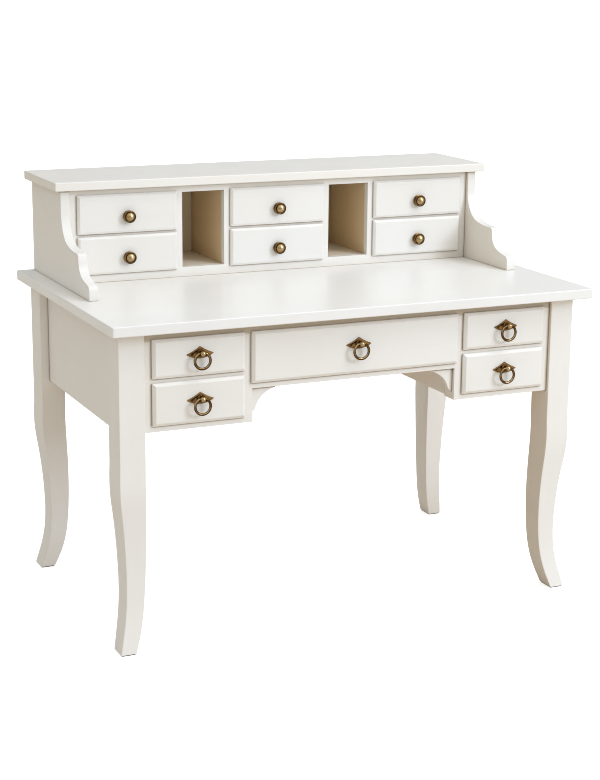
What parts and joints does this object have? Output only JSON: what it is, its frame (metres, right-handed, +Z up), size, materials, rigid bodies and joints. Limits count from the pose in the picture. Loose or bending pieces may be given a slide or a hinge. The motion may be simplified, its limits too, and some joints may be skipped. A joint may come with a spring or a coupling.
{
  "type": "bonheur du jour",
  "caption": "White painted bonheur du jour: writing desk on cabriole legs, with kneehole, brass ring pulls, and a low hutch of small drawers and open pigeonholes.",
  "frame": {"origin": "on the floor, in the middle of the footprint of the desk top", "axes": "+X to the sitter's right along the width, +Y to the back (the drawers open towards -Y), +Z up"},
  "size_m": [1.2, 0.746, 1.0055],
  "materials": {
    "white_paint": "satin white paint over wood",
    "bare_wood": "clear sealed light wood",
    "antique_brass": "antique brass, rubbed",
    "steel_screw": "zinc plated",
    "glide_plastic": "dark brown plastic"
  },
  "bodies": {
    "carcass": {"back_apron": "white_paint", "base_drawer_runners": "bare_wood", "base_face_frame": "white_paint", "desk_top": "white_paint", "fixing_screws": "steel_screw", "foot_glides": "glide_plastic", "hutch_back": "white_paint", "hutch_cap": "white_paint", "hutch_drawer_dividers": "white_paint", "hutch_face_frame": "white_paint", "hutch_floor": "white_paint", "hutch_partitions": "white_paint", "hutch_side_left": "white_paint", "hutch_side_right": "white_paint", "kneehole_brackets": "white_paint", "leg_front_left": "white_paint", "leg_front_right": "white_paint", "leg_rear_left": "white_paint", "leg_rear_right": "white_paint", "pedestal_sides": "white_paint", "side_apron_left": "white_paint", "side_apron_right": "white_paint"},
    "drawer_left_upper": {"drawer_left_upper_front": "white_paint", "drawer_left_upper_box": "bare_wood", "drawer_left_upper_pull": "antique_brass"},
    "ring_left_upper": {"drawer_left_upper_ring": "antique_brass"},
    "drawer_left_lower": {"drawer_left_lower_front": "white_paint", "drawer_left_lower_box": "bare_wood", "drawer_left_lower_pull": "antique_brass"},
    "ring_left_lower": {"drawer_left_lower_ring": "antique_brass"},
    "drawer_centre": {"drawer_centre_front": "white_paint", "drawer_centre_box": "bare_wood", "drawer_centre_pull": "antique_brass"},
    "ring_centre": {"drawer_centre_ring": "antique_brass"},
    "drawer_right_upper": {"drawer_right_upper_front": "white_paint", "drawer_right_upper_box": "bare_wood", "drawer_right_upper_pull": "antique_brass"},
    "ring_right_upper": {"drawer_right_upper_ring": "antique_brass"},
    "drawer_right_lower": {"drawer_right_lower_front": "white_paint", "drawer_right_lower_box": "bare_wood", "drawer_right_lower_pull": "antique_brass"},
    "ring_right_lower": {"drawer_right_lower_ring": "antique_brass"},
    "hutch_drawer_left_upper": {"hutch_drawer_left_upper_front": "white_paint", "hutch_drawer_left_upper_box": "bare_wood", "hutch_drawer_left_upper_knob": "antique_brass"},
    "hutch_drawer_left_lower": {"hutch_drawer_left_lower_front": "white_paint", "hutch_drawer_left_lower_box": "bare_wood", "hutch_drawer_left_lower_knob": "antique_brass"},
    "hutch_drawer_centre_upper": {"hutch_drawer_centre_upper_front": "white_paint", "hutch_drawer_centre_upper_box": "bare_wood", "hutch_drawer_centre_upper_knob": "antique_brass"},
    "hutch_drawer_centre_lower": {"hutch_drawer_centre_lower_front": "white_paint", "hutch_drawer_centre_lower_box": "bare_wood", "hutch_drawer_centre_lower_knob": "antique_brass"},
    "hutch_drawer_right_upper": {"hutch_drawer_right_upper_front": "white_paint", "hutch_drawer_right_upper_box": "bare_wood", "hutch_drawer_right_upper_knob": "antique_brass"},
    "hutch_drawer_right_lower": {"hutch_drawer_right_lower_front": "white_paint", "hutch_drawer_right_lower_box": "bare_wood", "hutch_drawer_right_lower_knob": "antique_brass"}
  },
  "joints": [
    {"name": "drawer_left_upper_slide", "type": "slide", "parent": "carcass", "child": "drawer_left_upper", "axis": [0, -1, 0], "range_m": [0, 0.33]},
    {"name": "drawer_left_lower_slide", "type": "slide", "parent": "carcass", "child": "drawer_left_lower", "axis": [0, -1, 0], "range_m": [0, 0.33]},
    {"name": "drawer_centre_slide", "type": "slide", "parent": "carcass", "child": "drawer_centre", "axis": [0, -1, 0], "range_m": [0, 0.33]},
    {"name": "drawer_right_upper_slide", "type": "slide", "parent": "carcass", "child": "drawer_right_upper", "axis": [0, -1, 0], "range_m": [0, 0.33]},
    {"name": "drawer_right_lower_slide", "type": "slide", "parent": "carcass", "child": "drawer_right_lower", "axis": [0, -1, 0], "range_m": [0, 0.33]},
    {"name": "hutch_drawer_left_upper_slide", "type": "slide", "parent": "carcass", "child": "hutch_drawer_left_upper", "axis": [0, -1, 0], "range_m": [0, 0.13]},
    {"name": "hutch_drawer_left_lower_slide", "type": "slide", "parent": "carcass", "child": "hutch_drawer_left_lower", "axis": [0, -1, 0], "range_m": [0, 0.13]},
    {"name": "hutch_drawer_centre_upper_slide", "type": "slide", "parent": "carcass", "child": "hutch_drawer_centre_upper", "axis": [0, -1, 0], "range_m": [0, 0.13]},
    {"name": "hutch_drawer_centre_lower_slide", "type": "slide", "parent": "carcass", "child": "hutch_drawer_centre_lower", "axis": [0, -1, 0], "range_m": [0, 0.13]},
    {"name": "hutch_drawer_right_upper_slide", "type": "slide", "parent": "carcass", "child": "hutch_drawer_right_upper", "axis": [0, -1, 0], "range_m": [0, 0.13]},
    {"name": "hutch_drawer_right_lower_slide", "type": "slide", "parent": "carcass", "child": "hutch_drawer_right_lower", "axis": [0, -1, 0], "range_m": [0, 0.13]},
    {"name": "ring_left_upper_hinge", "type": "hinge", "parent": "drawer_left_upper", "child": "ring_left_upper", "pos_m": [-0.386, -0.3468, 0.681], "axis": [-1, 0, 0], "range_deg": [-18, 180]},
    {"name": "ring_left_lower_hinge", "type": "hinge", "parent": "drawer_left_lower", "child": "ring_left_lower", "pos_m": [-0.386, -0.3468, 0.5785], "axis": [-1, 0, 0], "range_deg": [-18, 180]},
    {"name": "ring_centre_hinge", "type": "hinge", "parent": "drawer_centre", "child": "ring_centre", "pos_m": [0, -0.3468, 0.67], "axis": [-1, 0, 0], "range_deg": [-18, 180]},
    {"name": "ring_right_upper_hinge", "type": "hinge", "parent": "drawer_right_upper", "child": "ring_right_upper", "pos_m": [0.386, -0.3468, 0.681], "axis": [-1, 0, 0], "range_deg": [-18, 180]},
    {"name": "ring_right_lower_hinge", "type": "hinge", "parent": "drawer_right_lower", "child": "ring_right_lower", "pos_m": [0.386, -0.3468, 0.5785], "axis": [-1, 0, 0], "range_deg": [-18, 180]}
  ]
}
